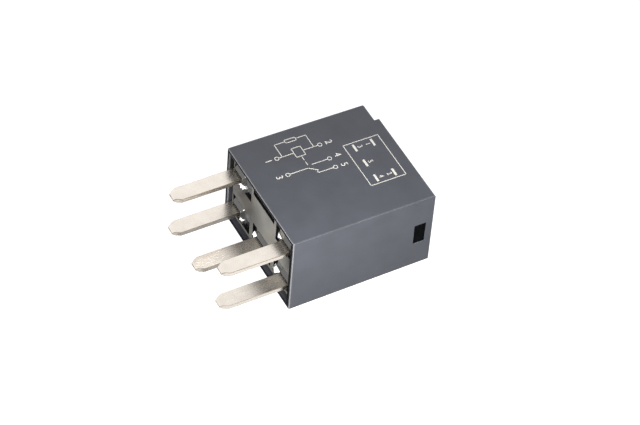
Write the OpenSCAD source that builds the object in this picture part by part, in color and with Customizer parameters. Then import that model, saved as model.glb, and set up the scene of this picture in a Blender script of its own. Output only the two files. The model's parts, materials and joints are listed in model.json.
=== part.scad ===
// Five-blade changeover micro relay, lying on its broad face.
// X runs from the blade side to the closed end of the cover, Y across its width and
// Z through its depth. The origin is the centre of the cover's open rim. Millimetres.

/* [Cover] */
// Outside width at the rim
rim_width = 22.5; // [22.3:0.1:23.5]
// Outside depth at the rim
rim_depth = 15; // [14.8:0.1:16]
// Height from the rim to the closed end
cover_height = 25; // [24.9:0.1:27]
// Moulding draft of the two broad faces, in degrees
broad_draft = 0.5; // [0.1:0.1:0.6]
// Moulding draft of the two narrow faces, in degrees
narrow_draft = 0.34; // [0.1:0.1:0.5]
// Wall thickness
wall = 0.8; // [0.6:0.05:0.85]
// Radius of the outside edges
edge_radius = 0.45; // [0.2:0.05:0.6]
// Drop of the shoulder beside the closed end
step_drop = 0.85; // [0.3:0.05:1]
// Width of that shoulder
step_width = 3.65; // [2:0.05:5]

/* [Puller pockets] */
// Length of each pocket along the cover
pocket_length = 2; // [1.5:0.1:2.2]
// Height of each pocket through the depth
pocket_height = 4.1; // [2:0.1:5]
// Distance from the closed end to the pocket
pocket_margin = 1.2; // [1.1:0.1:1.5]
// Depth of each blind pocket
pocket_depth = 1.5; // [1:0.1:1.5]

/* [Base] */
// Recess of the base below the rim
base_recess = 0.8; // [0.4:0.1:1]
// Thickness of the base plate
base_thickness = 2.8; // [2.4:0.1:2.8]
// Depth of the resin pockets round the blades
resin_pocket = 0.9; // [0.6:0.1:1.2]

/* [Blades] */
// Width of a blade
blade_width = 2.8; // [2.6:0.1:3]
// Thickness of a blade and of the strip it is cut from
strip = 0.8; // [0.6:0.05:0.85]
// Reach of the blades beyond the rim
blade_reach = 11.1; // [9:0.1:13]
// Distance between the outer columns of blades
column_spacing = 16.8; // [16.6:0.1:17]
// Distance between the two rows of blades
row_spacing = 7.6; // [7.4:0.1:7.8]
// Length of the tapered tip
tip_length = 1.3; // [0.8:0.1:2]
// Inset of each tip corner
tip_inset = 0.68; // [0.3:0.02:1]
// Bevel of the tip through its thickness
tip_bevel = 0.25; // [0.1:0.05:0.3]

/* [Magnet] */
// Offset of the coil axis from the middle of the cover
coil_offset = 1.4; // [1.2:0.1:1.5]
// Outside diameter of the winding
winding_diameter = 10; // [8:0.1:10.3]
// Turns that show on the outside of the winding
turns = 34; // [20:1:40]
// Side of the square bobbin flanges
flange_size = 10.6; // [10.4:0.1:10.6]
// Diameter of the core
core_diameter = 4.5; // [4:0.1:5]
// Diameter of the pole face
pole_diameter = 7.6; // [6:0.1:8]
// Thickness of the yoke and of the armature
iron = 1.2; // [1:0.05:1.25]
// Width of the yoke
yoke_width = 9.2; // [8:0.1:9.2]
// Height of the pole face above the rim
pole_level = 18.8; // [18.6:0.1:18.9]

/* [Contacts] */
// Angle that the armature swings from rest to pull-in
swing = 3; // [2:0.1:3.2]
// Diameter of the contact rivets
contact_diameter = 2.6; // [2:0.1:2.8]
// Distance of the contacts from the middle of the cover
contact_offset = 7.5; // [7.4:0.1:7.6]
// Thickness of the leaf spring
leaf = 0.2; // [0.15:0.05:0.25]

/* [Hidden] */

$fn = 64;
eps = 0.01;
fit = 0.05;

// Colours of the materials
cover_colour = "#54565d";
base_colour = "#6f6e6a";
resin_colour = "#3c3a38";
tin_colour = "#d9d4ca";
iron_colour = "#b9bbbd";
bronze_colour = "#c98f5a";
silver_colour = "#e8e8e6";
copper_colour = "#b5603a";
bobbin_colour = "#e9e4d6";
resistor_colour = "#7fa6b8";

// Inside of the cover
inner_width = rim_width - 2 * wall;
inner_depth = rim_depth - 2 * wall;

// Puller pockets: the middle of their height and the skin behind their floor
pocket_middle = -0.35;
pocket_skin = 0.45;

// Base plate: its clearance in the cover, its corners, its inner face and the top of
// the rails that the yoke stands on
base_gap = 0.1;
base_corner = 0.3;
base_top = base_recess + base_thickness;
pad_top = base_top + 1.4;

// Resin pockets: the outer ones from the middle and past their column, the middle one
// to each side, and all of them below and above their row
pocket_reach = [4.2, 1.6];
middle_pocket = 3.1;
pocket_rows = [2.2, 1.8];

// Resin: the body of each pool, how far it creeps up a blade, and the spread of that
// collar at its foot and at its top
pool_body = 0.5;
creep = 0.55;
creep_spread = [1.15, 0.6];

// Relief along the upper edge of the base
relief_half = 3.5;
relief_low = 4.1;
relief_deep = 1.8;

// Rails under the yoke's foot: their near and far side from the middle, and how far
// they stay back from its ends
rail = [2.3, 3.2];
rail_inset = 0.4;

// Lugs that hold the yoke's foot sideways
lug_reach = [4, 6.4];
lug_gap = 0.15;
lug_thickness = 0.55;
lug_top = 0.1;

// Guide round the make contact's riser: its height, its walls and how far it stays
// back from the riser's inner edge
guide_height = 3;
guide_wall = [0.6, 1.2];
guide_opening = 0.4;

// Rows and columns of the blades
column = column_spacing / 2;
row = row_spacing / 2;
half_blade = blade_width / 2;
half_strip = strip / 2;
blade_top = base_top + 1;

// Yoke: one leg under the coil, the other beside it up to the pole level
yoke_foot = pad_top;
yoke_outer = coil_offset + flange_size / 2 + 1 + iron;
yoke_inner = yoke_outer - iron;
yoke_end = coil_offset - 4.6;
yoke_bend = 0.4;

// Bobbin between the yoke's foot and the pole
flange = 0.9;
flange_corner = 0.8;
bobbin_foot = yoke_foot + iron;
pole_thickness = 0.7;
bobbin_top = pole_level - pole_thickness;
tube_diameter = core_diameter + 1.2;

// Armature in its pulled-in place, and the edge that it rocks on
iron_gap = 0.04;
pivot = [pole_level, yoke_outer, 0];
armature_low = pole_level + iron_gap;
armature_high = armature_low + iron;
armature_back = yoke_outer - 0.1;
armature_nose = -3.6;
armature_half = 4.3;
nose_half = 3;

// Taper of the armature's nose, and the chamfer of its rear edge
taper_start = -1.4;
back_chamfer = 0.6;

// Leaf spring: one leg on the yoke, the other on the armature
leaf_gap = 0.02;
leaf_seat = yoke_outer + leaf_gap;
leaf_foot = 10.5;
leaf_tip = -contact_offset - 1.5;
leaf_half = 3.4;
tip_half = 1.9;
leaf_bend = 0.5 + leaf / 2;
leaf_line = armature_high + leaf / 2;
arm_taper = [-2, -4.6];
tip_corner = 0.6;

// Window in the spring's bend
window_foot = 17;
window_side = 7;
window_half = 1.5;

// Rivets that hold the spring
rivet_shank = 1;
rivet_head = 1.9;
rivet_crown = 0.35;
rivet_spacing = 4;
yoke_rivet_level = 12.6;
armature_rivet_place = 3.2;

// Contacts: button heights, dome radius and the gaps that the swing opens and closes
button = 0.6;
dome = 7;
contact_shank = 1.2;
contact_edge = 0.12;
contact_upset = 0.15;
contact_gap = 0.02;
low_button = armature_high - button;
high_button = armature_high + leaf + 0.5;
no_level = low_button - contact_gap;
no_shelf = no_level - 0.7;
swung_dome = (high_button - dome - pivot.x) * cos(swing)
    + (pivot.y + contact_offset) * sin(swing);
nc_level = pivot.x + swung_dome + dome + contact_gap;
nc_shelf = nc_level + 0.6;

// Risers of the two contact terminals, and the shelves that they fold into
riser_foot = base_top + 0.2;
no_riser = [-9.3, -6.2];
nc_riser = [-5.9, -4.1];
shelf_tip = 1.8;
strip_bend = 0.3;
// Wider end of the break contact's shelf: past the contact, and its back edge
shelf_margin = 1.45;
shelf_back = -2.6;

// Flange of the moving contact's terminal behind the yoke
flange_top = 9;
flange_edge = 0.6;
flange_chamfer = 0.7;

// Coil posts, the wire wrapped on them and the resistor between them
post_width = 1.2;
post_offset = 5.6;
post_top = 9.4;
wire = 0.2;
wraps = 3;
wrap_level = 8.2;
wrap_pitch = 0.26;
waist = 0.15;
lead_offset = 2.6;
lead_height = 4.5;
notch_half = 0.4;
resistor_level = base_top + 1;
resistor_middle = 0.4;
resistor_length = 4.2;
resistor_diameter = 1.8;
resistor_wire = 0.5;
resistor_cap = 0.8;
resistor_waist = 0.15;
resistor_corner = 0.3;

// A block between two opposite corners
module block(low, high) {
    translate(low) cube(high - low);
}

// Stands a drawing made in Y and Z up along X
module along_x() {
    rotate([90, 0, 90]) children();
}

// Lays a drawing made in X and Z across Y, from y = low to y = high
module across_y(low, high) {
    translate([0, high, 0]) rotate([90, 0, 0]) linear_extrude(high - low) children();
}

// A cylinder along X
module peg(x, y, z, length, diameter) {
    translate([x, y, z]) rotate([0, 90, 0]) cylinder(h = length, d = diameter);
}

// A rectangle with true arcs at its corners
module rounded_rect(width, height, radius) {
    square([width - 2 * radius, height], center = true);
    square([width, height - 2 * radius], center = true);
    for (x = [-1, 1], y = [-1, 1])
        translate([x * (width / 2 - radius), y * (height / 2 - radius)])
            circle(radius);
}

// Points of an arc, from one angle to another
function arc(x, y, radius, from, to, steps = 6) =
    [for (i = [0:steps]) let (a = from + (to - from) * i / steps)
        [x + radius * cos(a), y + radius * sin(a)]];

// Directions of a path at each of its points
function headings(path) =
    [for (i = [0:len(path) - 1])
        let (run = path[min(i + 1, len(path) - 1)] - path[max(i - 1, 0)])
            run / norm(run)];

// A closed tube along a path, as rings of points square to it
module tube(path, diameter, sides = 8) {
    way = headings(path);
    rings = len(path);
    points = [for (i = [0:rings - 1])
        let (across = cross(way[i], abs(way[i].x) > 0.8 ? [0, 1, 0] : [1, 0, 0]),
            u = across / norm(across), v = cross(way[i], u))
            for (k = [0:sides - 1])
                path[i] + diameter / 2 * (u * cos(360 * k / sides) + v * sin(360 * k / sides))];
    walls = [for (i = [0:rings - 2], k = [0:sides - 1]) let (next = (k + 1) % sides)
        [i * sides + k, (i + 1) * sides + k, (i + 1) * sides + next, i * sides + next]];
    first = [for (k = [0:sides - 1]) k];
    last = [for (k = [sides - 1:-1:0]) (rings - 1) * sides + k];
    polyhedron(points, concat([first], walls, [last]), convexity = 6);
}

// Turns what is drawn pulled in back to the rest position
module at_rest() {
    translate(pivot) rotate([0, 0, swing]) translate(-pivot) children();
}

// ---- Cover ----

// Outline of the cover seen on its broad face: drafted sides, rounded closed end and
// the lower shoulder. skin shrinks it for the cavity.
module broad_outline(skin) {
    lean = cover_height * tan(narrow_draft);
    top = cover_height - skin;
    low = top - step_drop;
    side = rim_width / 2 - skin;
    end = side - lean;
    corner = max(edge_radius - skin, 0.1);
    shoulder = rim_width / 2 - lean - step_width - skin;
    start = skin > 0 ? -1 : 0;
    polygon(concat(
        [[start, -side], [start, side]],
        arc(low - corner, end - corner, corner, 90, 0),
        [[low, shoulder], [top, shoulder]],
        arc(top - corner, -end + corner, corner, 0, -90)));
}

// Outline of the cover seen on its narrow face
module narrow_outline(skin) {
    lean = cover_height * tan(broad_draft);
    top = cover_height - skin;
    side = rim_depth / 2 - skin;
    end = side - lean;
    corner = max(edge_radius - skin, 0.1);
    start = skin > 0 ? -1 : 0;
    polygon(concat(
        [[start, -side], [start, side]],
        arc(top - corner, end - corner, corner, 90, 0),
        arc(top - corner, -end + corner, corner, 0, -90)));
}

// The form of the cover, inside or outside
module cover_form(skin) {
    corner = max(edge_radius - skin / 2, 0.1);
    intersection() {
        translate([-1, 0, 0]) along_x() linear_extrude(cover_height + 2)
            rounded_rect(rim_width - 2 * skin, rim_depth - 2 * skin, corner);
        translate([0, 0, -rim_depth]) linear_extrude(2 * rim_depth)
            broad_outline(skin);
        across_y(-rim_width, rim_width) narrow_outline(skin);
    }
}

// The blind pockets that a pulling tool hooks into, one in each narrow face, and the
// thicker wall behind them
module puller_pockets(depth, extra) {
    high = cover_height - pocket_margin;
    floor_side = rim_width / 2 - cover_height * tan(narrow_draft) - depth;
    for (side = [-1, 1])
        scale([1, side, 1])
            block([high - pocket_length - extra, floor_side,
                    pocket_middle - pocket_height / 2 - extra],
                [high + extra, rim_width, pocket_middle + pocket_height / 2 + extra]);
}

module cover() {
    color(cover_colour) difference() {
        union() {
            difference() {
                cover_form(0);
                cover_form(wall);
            }
            intersection() {
                cover_form(wall / 2);
                puller_pockets(pocket_depth + pocket_skin, pocket_skin);
            }
        }
        puller_pockets(pocket_depth, 0);
    }
}

// ---- Base ----

// Places what is drawn round a blade at each of the five blades: side is the way to
// the nearest narrow wall
module at_blades() {
    for (side = [-1, 1], level = [-1, 1])
        translate([0, side * column, level * row]) scale([1, side, 1]) children();
    translate([0, 0, -row]) children();
}

// Resin pockets round the blades, seen from the blade side
module resin_pockets(low, high) {
    for (side = [-1, 1], level = [-row, row])
        scale([1, side, 1])
            block([low, pocket_reach.x, level - pocket_rows.x],
                [high, column + pocket_reach.y, level + pocket_rows.y]);
    block([low, -middle_pocket, -row - pocket_rows.x],
        [high, middle_pocket, -row + pocket_rows.y]);
}

module base() {
    lug_side = yoke_width / 2 + lug_gap;
    color(base_colour) difference() {
        union() {
            translate([base_recess, 0, 0]) along_x() linear_extrude(base_thickness)
                rounded_rect(inner_width - 2 * base_gap, inner_depth - 2 * base_gap,
                    base_corner);
            // Rails that the yoke's foot stands on
            for (side = [-1, 1])
                scale([1, 1, side])
                    block([base_top - eps, yoke_end + rail_inset, rail.x],
                        [pad_top, yoke_inner - rail_inset, rail.y]);
            // Guide that steadies the make contact's riser, open towards the coil
            block([base_top - eps, no_riser.x - guide_wall.x,
                    -row - half_strip - guide_wall.y],
                [base_top + guide_height, no_riser.y - guide_opening,
                    -row + half_strip + guide_wall.y]);
            // Upright lugs beside the yoke
            for (side = [-1, 1])
                scale([1, 1, side])
                    block([base_top - eps, lug_reach.x, lug_side],
                        [pad_top + iron - lug_top, lug_reach.y, lug_side + lug_thickness]);
        }
        // Slots that the blades are pushed through
        at_blades()
            block([-eps, -half_blade - fit, -half_strip - fit],
                [cover_height, half_blade + fit, half_strip + fit]);
        // Way of the make contact's riser through its guide
        block([riser_foot - fit, no_riser.x - fit, -row - half_strip - fit],
            [cover_height, no_riser.y + fit, -row + half_strip + fit]);
        resin_pockets(-eps, base_recess + resin_pocket);
        // Relief along the upper edge
        block([-eps, -relief_half, relief_low],
            [base_recess + relief_deep, relief_half, rim_depth]);
    }
}

// The collar of resin that creeps up one blade
module resin_collar() {
    foot = base_recess + resin_pocket - pool_body;
    end = half_blade - half_strip;
    for (place = [-end, end])
        translate([foot, place, 0]) rotate([0, -90, 0])
            cylinder(h = creep, r1 = creep_spread.x, r2 = creep_spread.y);
    across_y(-end, end)
        polygon([[foot, -creep_spread.x], [foot, creep_spread.x],
            [foot - creep, creep_spread.y], [foot - creep, -creep_spread.y]]);
}

module terminal_seals() {
    foot = base_recess + resin_pocket;
    color(resin_colour) difference() {
        union() {
            resin_pockets(foot - pool_body, foot);
            intersection() {
                at_blades() resin_collar();
                resin_pockets(0, foot);
            }
        }
        at_blades()
            block([-1, -half_blade, -half_strip], [base_top, half_blade, half_strip]);
    }
}

// ---- Terminals ----

// A blade: a flat strip with a tapered, bevelled tip
module blade(top) {
    tip = -blade_reach;
    bevel_length = 2 * tip_bevel;
    intersection() {
        translate([0, 0, -half_strip]) linear_extrude(strip)
            polygon([[tip, -half_blade + tip_inset], [tip + tip_length, -half_blade],
                [top, -half_blade], [top, half_blade],
                [tip + tip_length, half_blade], [tip, half_blade - tip_inset]]);
        across_y(-half_blade, half_blade)
            polygon([[tip, -half_strip + tip_bevel], [tip + bevel_length, -half_strip],
                [top, -half_strip], [top, half_strip],
                [tip + bevel_length, half_strip], [tip, half_strip - tip_bevel]]);
    }
}

// A riser in the plane of the lower row that folds inwards into a shelf
module folded_strip(foot, shelf, sides, tip) {
    outer = strip_bend + strip;
    back = -row - half_strip;
    across_y(sides.x, sides.y) {
        translate([foot, back]) square([shelf + strip - outer - foot, strip]);
        translate([shelf, back + outer]) square([strip, tip - back - outer]);
        intersection() {
            translate([shelf + strip - outer, back + outer]) difference() {
                circle(outer);
                circle(strip_bend);
            }
            translate([shelf + strip - outer, back]) square(outer);
        }
    }
}

// Terminal of the moving contact: its side flange is welded to the back of the yoke
module terminal_30() {
    back = row + half_strip;
    color(tin_colour) {
        translate([0, column, -row]) blade(blade_top);
        translate([0, yoke_outer, 0]) rotate([-90, 0, 0]) linear_extrude(strip)
            polygon([[riser_foot, flange_edge], [flange_top, flange_edge],
                [flange_top, back - flange_chamfer], [flange_top - flange_chamfer, back],
                [riser_foot, back]]);
    }
}

// Terminals of the coil: the strip steps outwards into a post for the wire
module coil_terminal(side) {
    color(tin_colour) translate([0, side * column, 0]) {
        translate([0, 0, row]) blade(blade_top);
        block([riser_foot, -post_width / 2, row - half_strip],
            [riser_foot + strip, post_width / 2, post_offset + half_strip]);
        difference() {
            block([riser_foot, -post_width / 2, post_offset - half_strip],
                [post_top, post_width / 2, post_offset + half_strip]);
            // Waist that keeps the wraps in place
            for (edge = [-1, 1])
                scale([1, edge, 1])
                    block([wrap_level - wire, post_width / 2 - waist, post_offset - strip],
                        [wrap_level + wraps * wrap_pitch + wire, post_width,
                            post_offset + strip]);
        }
    }
}

module terminal_85() {
    coil_terminal(-1);
}

module terminal_86() {
    coil_terminal(1);
}

// Make contact's terminal: it rises beside the cover's wall and folds in below the
// moving contact
module terminal_87() {
    color(tin_colour) difference() {
        union() {
            translate([0, -column, -row]) blade(blade_top);
            folded_strip(riser_foot, no_shelf - strip, no_riser, shelf_tip);
        }
        peg(no_shelf - 2 * strip, -contact_offset, 0, 3 * strip, contact_shank);
    }
}

// Break contact's terminal: it runs across the base, rises beside the coil and folds
// in above the moving contact
module terminal_87a() {
    color(tin_colour) difference() {
        union() {
            translate([0, 0, -row]) blade(blade_top);
            block([riser_foot, nc_riser.x, -row - half_strip],
                [blade_top, half_blade, -row + half_strip]);
            folded_strip(riser_foot, nc_shelf, nc_riser, shelf_tip);
            block([nc_shelf, -contact_offset - shelf_margin, shelf_back],
                [nc_shelf + strip, nc_riser.y, shelf_tip]);
        }
        peg(nc_shelf - strip, -contact_offset, 0, 3 * strip, contact_shank);
    }
}

// ---- Magnet ----

// Yoke: soft iron bent to an L, pierced for the core and the spring's rivets
module yoke() {
    outer = yoke_bend + iron;
    color(iron_colour) difference() {
        translate([0, 0, -yoke_width / 2]) linear_extrude(yoke_width) {
            translate([yoke_foot, yoke_end])
                square([iron, yoke_outer - outer - yoke_end]);
            translate([yoke_foot + outer, yoke_inner])
                square([pole_level - yoke_foot - outer, iron]);
            intersection() {
                translate([yoke_foot + outer, yoke_outer - outer]) difference() {
                    circle(outer);
                    circle(yoke_bend);
                }
                translate([yoke_foot, yoke_outer - outer]) square(outer);
            }
        }
        peg(yoke_foot - iron, coil_offset, 0, 3 * iron, core_diameter);
        for (side = [-1, 1])
            translate([yoke_rivet_level, yoke_outer + iron, side * rivet_spacing / 2])
                rotate([90, 0, 0]) cylinder(h = 3 * iron, d = rivet_shank);
    }
}

// Core: a turned pin with a broad pole face, staked over under the yoke
module core() {
    stake = 0.3;
    edge = 0.1;
    shaft = core_diameter / 2;
    face = pole_diameter / 2;
    color(iron_colour) translate([0, coil_offset, 0]) rotate([0, 90, 0])
        rotate_extrude()
            polygon([[0, yoke_foot - stake], [shaft - stake, yoke_foot - stake],
                [shaft, yoke_foot], [shaft, bobbin_top], [face - edge, bobbin_top],
                [face, bobbin_top + edge], [face, pole_level - edge],
                [face - edge, pole_level], [0, pole_level]]);
}

// Bobbin: a tube between two square flanges, the lower one notched for the leads
module bobbin() {
    color(bobbin_colour) difference() {
        translate([0, coil_offset, 0]) {
            for (level = [bobbin_foot, bobbin_top - flange])
                translate([level, 0, 0]) along_x() linear_extrude(flange)
                    rounded_rect(flange_size, flange_size, flange_corner);
            peg(bobbin_foot, 0, 0, bobbin_top - bobbin_foot, tube_diameter);
        }
        peg(bobbin_foot - 1, coil_offset, 0, cover_height, core_diameter + 2 * fit);
        for (side = [-1, 1])
            translate([0, coil_offset + side * lead_offset, 0])
                block([bobbin_foot + flange / 2, -notch_half, lead_height + wire / 2],
                    [bobbin_foot + flange + eps, notch_half, flange_size]);
    }
}

// Winding: enamelled copper wire, with the outer layer's turns showing as ridges
module coil_winding() {
    start = bobbin_foot + flange + fit;
    finish = bobbin_top - flange - fit;
    pitch = (finish - start) / turns;
    radius = winding_diameter / 2;
    // Each turn is a ridge of three points across its pitch
    crests = [for (i = [0:turns - 1], step = [-0.35, 0, 0.35])
        [radius - pitch * abs(step), start + (i + 0.5 + step) * pitch]];
    color(copper_colour) translate([0, coil_offset, 0]) rotate([0, 90, 0])
        rotate_extrude()
            polygon(concat([[tube_diameter / 2 + fit, start], [radius - pitch / 2, start]],
                crests, [[radius - pitch / 2, finish], [tube_diameter / 2 + fit, finish]]));
}

// A lead from the winding to a coil post, ending in its wraps round the post
module coil_lead(side) {
    leave = coil_offset + side * lead_offset;
    post = side * column;
    wrap = post_width / 2 + wire;
    slack = 0.3;
    start = bobbin_foot + flange + slack + wire;
    steps = 12;
    helix = [for (i = [0:wraps * steps]) let (turn = 360 * i / steps)
        [wrap_level + i * wrap_pitch / steps, post - side * wrap * cos(turn),
            post_offset + wrap * sin(turn)]];
    color(copper_colour)
        tube(concat([[start, leave, lead_height],
            [start + wire, leave + side * (wrap - wire / 2), lead_height + slack],
            [wrap_level - slack, post - side * (post_width + wrap),
                post_offset - wrap + slack]],
            helix), wire);
}

module coil_start_lead() {
    coil_lead(1);
}

module coil_end_lead() {
    coil_lead(-1);
}

// Damping resistor across the coil: a moulded body with thicker ends
module resistor_body() {
    half = resistor_length / 2;
    radius = resistor_diameter / 2;
    thin = radius - resistor_waist;
    cap = half - resistor_cap;
    neck = cap - resistor_corner;
    color(resistor_colour) translate([resistor_level, resistor_middle, post_offset])
        rotate([90, 0, 0]) rotate_extrude()
            polygon([[0, -half], [radius - resistor_corner, -half],
                [radius, -half + resistor_corner], [radius, -cap], [thin, -neck],
                [thin, neck], [radius, cap], [radius, half - resistor_corner],
                [radius - resistor_corner, half], [0, half]]);
}

// Its two leads, welded to the feet of the coil posts
module resistor_leads() {
    half = resistor_length / 2;
    post = column - post_width / 2;
    color(tin_colour) {
        translate([resistor_level, post, post_offset]) rotate([90, 0, 0])
            cylinder(h = post - half - resistor_middle, d = resistor_wire);
        translate([resistor_level, resistor_middle - half, post_offset])
            rotate([90, 0, 0])
                cylinder(h = post - half + resistor_middle, d = resistor_wire);
    }
}

// ---- Contacts ----

// A fixed contact rivet: way is +1 where it faces up the cover, -1 where it faces down
module fixed_contact(level, height, way) {
    color(silver_colour) translate([level, -contact_offset, 0]) rotate([0, way * 90, 0])
        rotate_extrude()
            polygon([[0, 0], [contact_diameter / 2 - contact_edge, 0],
                [contact_diameter / 2, -contact_edge], [contact_diameter / 2, -height],
                [contact_shank / 2, -height], [contact_shank / 2, -height - strip],
                [0, -height - strip - contact_upset]]);
}

module fixed_contact_no() {
    fixed_contact(no_level, no_level - no_shelf, 1);
}

module fixed_contact_nc() {
    fixed_contact(nc_level, nc_shelf - nc_level, -1);
}

// Moving contact: a rivet through the spring's tip with a domed button on both sides
module moving_contact() {
    radius = contact_diameter / 2;
    half = asin(radius / dome);
    low_face = arc(0, low_button + dome, dome, -90, -90 + half);
    high_face = arc(0, high_button - dome, dome, 90 - half, 90);
    color(silver_colour) at_rest() translate([0, -contact_offset, 0])
        rotate([0, 90, 0]) rotate_extrude()
            polygon(concat(low_face, [[radius, armature_high],
                [contact_shank / 2, armature_high],
                [contact_shank / 2, armature_high + leaf],
                [radius, armature_high + leaf]], high_face));
}

// ---- Armature ----

module armature() {
    half = armature_half;
    color(iron_colour) at_rest() difference() {
        translate([armature_low, 0, 0]) along_x() linear_extrude(iron)
            polygon([[armature_back, -half], [armature_back, half],
                [taper_start, half], [armature_nose, nose_half],
                [armature_nose, -nose_half], [taper_start, -half]]);
        // Cut-back of the rear edge under the spring's bend
        translate([0, 0, -half - 1]) linear_extrude(2 * half + 2)
            polygon([[armature_high - back_chamfer, armature_back + eps],
                [armature_high + eps, armature_back - back_chamfer],
                [armature_high + eps, armature_back + eps]]);
        for (side = [-1, 1])
            peg(armature_low - 1, armature_rivet_place, side * rivet_spacing / 2,
                4, rivet_shank);
    }
}

// A rivet with a low crown, standing on its shank along +Z
module rivet(grip) {
    edge = rivet_crown / 2;
    rotate_extrude()
        polygon([[0, 0], [rivet_shank / 2, 0], [rivet_shank / 2, grip],
            [rivet_head / 2, grip], [rivet_head / 2 - edge / 2, grip + edge],
            [rivet_shank / 2, grip + rivet_crown], [0, grip + rivet_crown]]);
}

module yoke_rivets() {
    color(iron_colour) for (side = [-1, 1])
        translate([yoke_rivet_level, yoke_inner, side * rivet_spacing / 2])
            rotate([-90, 0, 0]) rivet(iron + 2 * leaf_gap + leaf);
}

module armature_rivets() {
    color(iron_colour) at_rest() for (side = [-1, 1])
        translate([armature_low, armature_rivet_place, side * rivet_spacing / 2])
            rotate([0, 90, 0]) rivet(iron + leaf);
}

// Half outline of the spring's arm, seen along X: what is cut away beside the tip
module tip_relief() {
    past = 1;
    along_x() linear_extrude(2 * leaf_bend)
        polygon([[arm_taper.x, leaf_half], [arm_taper.y, tip_half],
            [leaf_tip + tip_corner, tip_half], [leaf_tip, tip_half - tip_corner],
            [leaf_tip - past, tip_half - tip_corner], [leaf_tip - past, leaf_half + past],
            [arm_taper.x, leaf_half + past]]);
}

// Leaf spring: a foot on the yoke, a bend over its edge and an arm on the armature
module moving_spring() {
    bend_y = leaf_seat + leaf / 2 - leaf_bend;
    turn = [cos(swing), sin(swing)];
    // The arm lies on the swung armature, so the bend's height follows from it
    bend_x = pivot.x
        + (leaf_line - leaf_bend - pivot.x - (bend_y - pivot.y) * turn.y) / turn.x;
    arm = (bend_y - leaf_tip) / turn.x;
    function side(radius) = concat([[leaf_foot, bend_y + radius]],
        arc(bend_x, bend_y, radius, 90, swing, 12),
        [[bend_x + radius * turn.x + arm * turn.y,
            bend_y + radius * turn.y - arm * turn.x]]);
    outer = side(leaf_bend + leaf / 2);
    inner = side(leaf_bend - leaf / 2);
    color(bronze_colour) difference() {
        translate([0, 0, -leaf_half]) linear_extrude(2 * leaf_half)
            polygon(concat(outer, [for (i = [len(inner) - 1:-1:0]) inner[i]]));
        for (way = [-1, 1])
            scale([1, 1, way]) at_rest() translate([leaf_line - leaf_bend, 0, 0])
                tip_relief();
        // Window that softens the bend
        block([window_foot, window_side, -window_half],
            [cover_height, rim_width, window_half]);
        for (way = [-1, 1]) {
            translate([yoke_rivet_level, yoke_outer + 1, way * rivet_spacing / 2])
                rotate([90, 0, 0]) cylinder(h = 2, d = rivet_shank + 2 * fit);
            at_rest()
                peg(armature_low, armature_rivet_place, way * rivet_spacing / 2,
                    4, rivet_shank);
        }
        at_rest() peg(armature_high - 1, -contact_offset, 0, 3, contact_shank);
    }
}

cover();
base();
terminal_seals();
terminal_30();
terminal_85();
terminal_86();
terminal_87();
terminal_87a();
yoke();
core();
bobbin();
coil_winding();
coil_start_lead();
coil_end_lead();
resistor_body();
resistor_leads();
fixed_contact_no();
fixed_contact_nc();
yoke_rivets();
armature();
armature_rivets();
moving_spring();
moving_contact();
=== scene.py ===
import json
import math

import bmesh
import bpy
from mathutils import Matrix, Quaternion, Vector, noise

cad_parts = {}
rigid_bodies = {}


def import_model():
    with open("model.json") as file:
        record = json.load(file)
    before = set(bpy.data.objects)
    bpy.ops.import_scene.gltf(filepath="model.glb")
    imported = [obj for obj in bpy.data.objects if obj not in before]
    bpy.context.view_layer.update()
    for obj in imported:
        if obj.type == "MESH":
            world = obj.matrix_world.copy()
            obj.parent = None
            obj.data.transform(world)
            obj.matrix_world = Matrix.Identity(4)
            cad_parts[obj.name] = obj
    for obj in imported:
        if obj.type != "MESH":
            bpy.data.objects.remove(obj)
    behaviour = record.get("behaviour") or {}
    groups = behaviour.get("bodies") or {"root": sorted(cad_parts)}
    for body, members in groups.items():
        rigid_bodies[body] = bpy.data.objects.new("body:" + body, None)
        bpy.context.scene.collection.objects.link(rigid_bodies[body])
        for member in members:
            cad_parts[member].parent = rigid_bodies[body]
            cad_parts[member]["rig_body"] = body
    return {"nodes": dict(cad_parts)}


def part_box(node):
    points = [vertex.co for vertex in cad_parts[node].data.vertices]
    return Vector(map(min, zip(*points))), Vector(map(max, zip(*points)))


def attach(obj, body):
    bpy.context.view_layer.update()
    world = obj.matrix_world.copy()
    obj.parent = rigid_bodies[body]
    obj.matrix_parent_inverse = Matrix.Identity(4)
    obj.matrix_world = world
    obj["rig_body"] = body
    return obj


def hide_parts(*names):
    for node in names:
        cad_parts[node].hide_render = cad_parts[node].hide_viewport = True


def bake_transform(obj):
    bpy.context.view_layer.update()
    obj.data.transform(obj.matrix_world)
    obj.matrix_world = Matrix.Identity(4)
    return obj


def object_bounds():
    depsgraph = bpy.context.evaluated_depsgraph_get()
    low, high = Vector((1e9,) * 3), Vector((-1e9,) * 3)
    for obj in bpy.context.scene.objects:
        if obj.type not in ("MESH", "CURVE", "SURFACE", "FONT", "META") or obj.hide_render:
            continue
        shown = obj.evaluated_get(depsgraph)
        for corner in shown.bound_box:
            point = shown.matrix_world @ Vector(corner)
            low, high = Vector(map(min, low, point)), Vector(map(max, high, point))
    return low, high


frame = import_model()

cad_low, cad_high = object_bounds()
scene = bpy.context.scene
scene.view_settings.view_transform = "Standard"

# ---- Table, light and camera ----
# The relay lies on a sheet of white paper in a light tent, which gives even light from
# all round, with three soft lamps. It is seen from above its blades through a long lens.
MM = 0.001
AIM = Vector((10.448, -0.975, 0)) * MM
CAMERA_DISTANCE = 471.7 * MM
CAMERA_AZIMUTH, CAMERA_ELEVATION, CAMERA_ROLL = -31.356, 47.09, 5.033
LENS, SENSOR = 168.75, 36
CLIP_START = 0.01
PAPER_SIDE = 1.2
# The paper lights the relay as a grey, looks white and shows a little paler in metal
PAPER_COLOUR = "#949494"
PAPER_GLOW, PAPER_MIRRORED = 1.0, 0.22
# How bright the tent is as a light, and as it is seen
TENT_LEVEL, TENT_SEEN = 0.45, 1.28


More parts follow.
